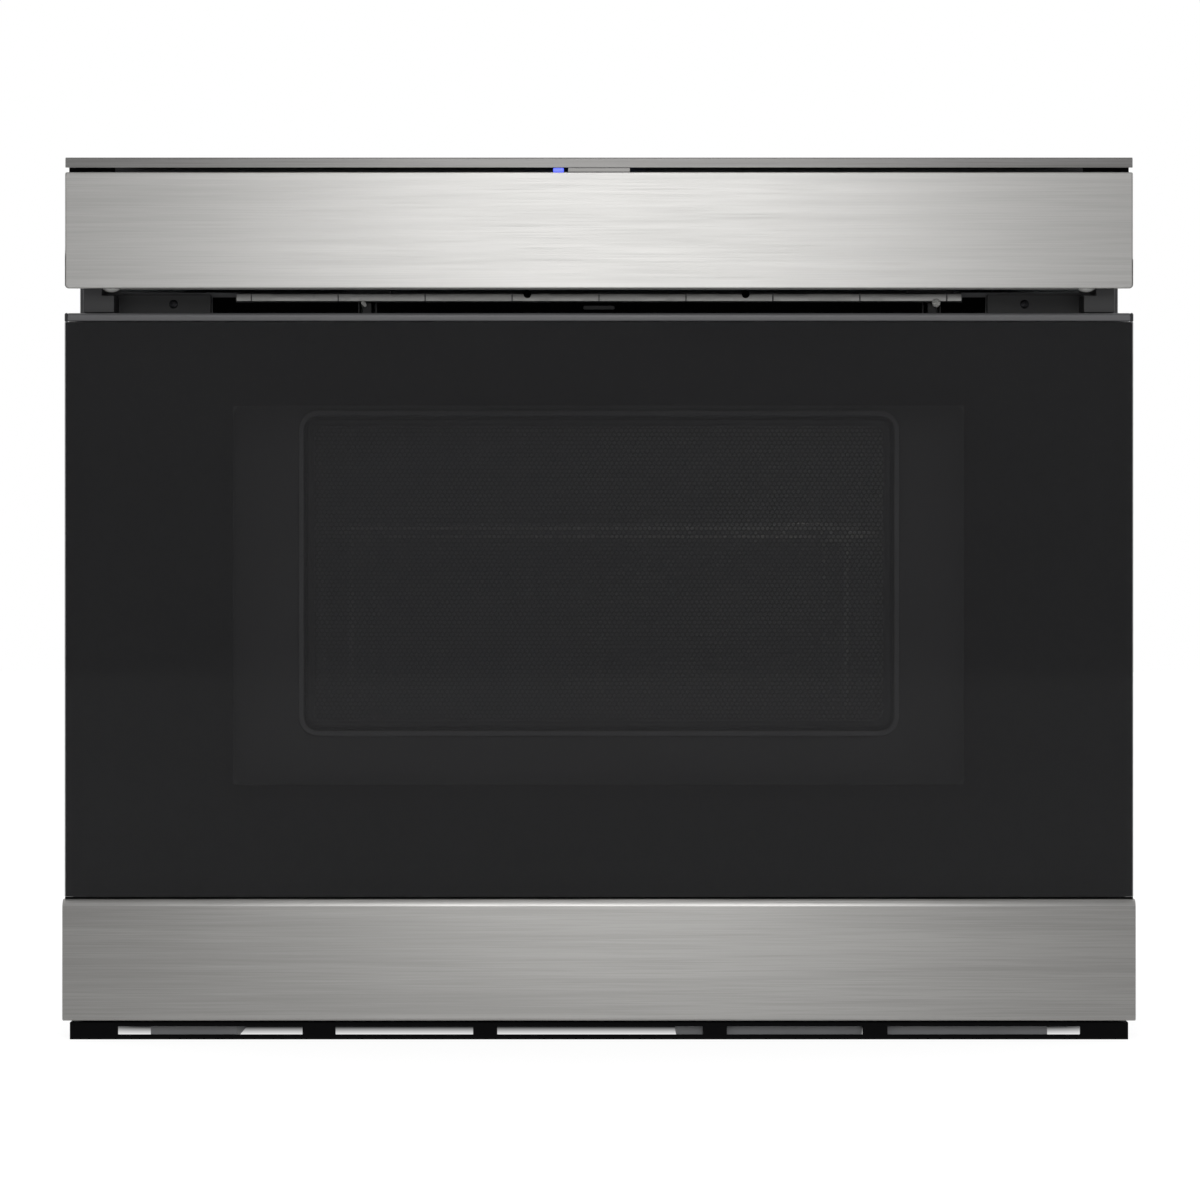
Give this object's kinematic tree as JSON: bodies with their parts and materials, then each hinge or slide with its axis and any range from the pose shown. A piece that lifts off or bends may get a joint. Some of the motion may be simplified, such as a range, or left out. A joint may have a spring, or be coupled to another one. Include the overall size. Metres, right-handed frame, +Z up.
{
  "type": "microwave drawer",
  "caption": "Built-in microwave drawer with a dark glass front, stainless strips, a tilting control panel and a motor-driven drawer pan with a convection fan behind it.",
  "frame": {"origin": "centre of the footprint on the floor plane", "axes": "+Z up, +X to the right seen from the front, the front faces -Y"},
  "size_m": [0.6064, 0.595, 0.4985],
  "materials": {
    "stainless": "horizontal brush lines",
    "galvanised": "plain zinc-coated sheet",
    "dark_steel": "satin dark grey paint",
    "grey_trim": "satin grey",
    "aluminium": "plain sheet",
    "chrome": "polished wire",
    "enamel": "smooth grey enamel",
    "laminated_core": "varnished laminations and copper",
    "dark_glass": "dark tinted, polished",
    "clear_glass": "clear",
    "ceramic": "smooth off-white",
    "lamp_holder": "white ceramic holder",
    "white_nylon": "matt white",
    "black_plastic": "matt black",
    "circuit_board": "green solder mask",
    "rubber": "matt black",
    "status_light": "lit blue"
  },
  "bodies": {
    "chassis": {"base_plate": "galvanised", "runner_left": "dark_steel", "runner_centre": "dark_steel", "runner_right": "dark_steel", "bottom_vent_grille": "black_plastic", "front_frame": "dark_steel", "top_trim": "stainless", "hinge_bracket_left": "dark_steel", "hinge_bracket_right": "dark_steel", "hinge_bush_left": "white_nylon", "hinge_bush_right": "white_nylon", "outer_wrapper": "galvanised", "back_panel": "galvanised", "cord_gland": "black_plastic", "oven_cavity": "enamel", "fan_grille": "enamel", "convection_housing": "galvanised", "heater_ring": "dark_steel", "convection_motor": "dark_steel", "waveguide": "aluminium", "stirrer_motor": "galvanised", "magnetron": "aluminium", "hv_transformer": "laminated_core", "hv_capacitor": "aluminium", "cooling_fan_frame": "black_plastic", "power_board": "circuit_board", "interlock_bracket": "black_plastic", "oven_lamp": "lamp_holder", "rail_outer_left": "galvanised", "rail_outer_right": "galvanised", "drive_motor": "dark_steel", "rack_guide": "white_nylon"},
    "drawer": {"door_outer_glass": "dark_glass", "door_lower_band": "stainless", "door_top_trim": "grey_trim", "door_tray": "dark_steel", "door_choke_panel": "dark_steel", "window_screen": "dark_steel", "door_inner_glass": "clear_glass", "door_gasket": "rubber", "latch_hook_left": "white_nylon", "latch_hook_right": "white_nylon", "drawer_pan": "enamel", "pan_rear_screen": "enamel", "ceramic_tray": "ceramic", "wire_rack": "chrome", "rail_inner_left": "galvanised", "rail_inner_right": "galvanised", "drive_rack": "white_nylon"},
    "rail_middle_left_member": {"rail_middle_left": "galvanised"},
    "rail_middle_right_member": {"rail_middle_right": "galvanised"},
    "pinion": {"drive_pinion": "white_nylon"},
    "control_panel": {"control_fascia": "stainless", "control_housing": "black_plastic", "control_glass": "dark_glass", "finger_tab": "stainless", "status_lens": "status_light"},
    "oven_fan": {"convection_fan": "aluminium"},
    "stirrer": {"stirrer_antenna": "aluminium"},
    "chassis_fan": {"cooling_fan": "black_plastic"}
  },
  "joints": [
    {"name": "drawer_slide", "type": "slide", "parent": "chassis", "child": "drawer", "axis": [0, -1, 0], "range_m": [0, 0.38]},
    {"name": "rail_middle_left_slide", "type": "slide", "parent": "chassis", "child": "rail_middle_left_member", "axis": [0, -1, 0], "range_m": [0, 0.19]},
    {"name": "rail_middle_right_slide", "type": "slide", "parent": "chassis", "child": "rail_middle_right_member", "axis": [0, -1, 0], "range_m": [0, 0.19]},
    {"name": "drive_pinion_spin", "type": "hinge", "parent": "chassis", "child": "pinion", "pos_m": [-0.149, -0.2255, 0.102], "axis": [1, 0, 0], "range_deg": [0, 1209.7]},
    {"name": "control_panel_tilt", "type": "hinge", "parent": "chassis", "child": "control_panel", "pos_m": [0, -0.2775, 0.43], "axis": [1, 0, 0], "range_deg": [0, 45]},
    {"name": "convection_fan_spin", "type": "hinge", "parent": "chassis", "child": "oven_fan", "pos_m": [0, 0.2, 0.254], "axis": [0, 1, 0], "continuous": true},
    {"name": "stirrer_spin", "type": "hinge", "parent": "chassis", "child": "stirrer", "pos_m": [0, -0.0528, 0.137], "axis": [0, 0, 1], "continuous": true},
    {"name": "cooling_fan_spin", "type": "hinge", "parent": "chassis", "child": "chassis_fan", "pos_m": [0.168, 0.285, 0.064], "axis": [0, 1, 0], "continuous": true}
  ],
  "couplings": [
    {"joint": "rail_middle_left_slide", "follows": "drawer_slide", "ratio": 0.5},
    {"joint": "rail_middle_right_slide", "follows": "drawer_slide", "ratio": 0.5},
    {"joint": "drive_pinion_spin", "follows": "drawer_slide", "rad_per_m": 55.556}
  ]
}
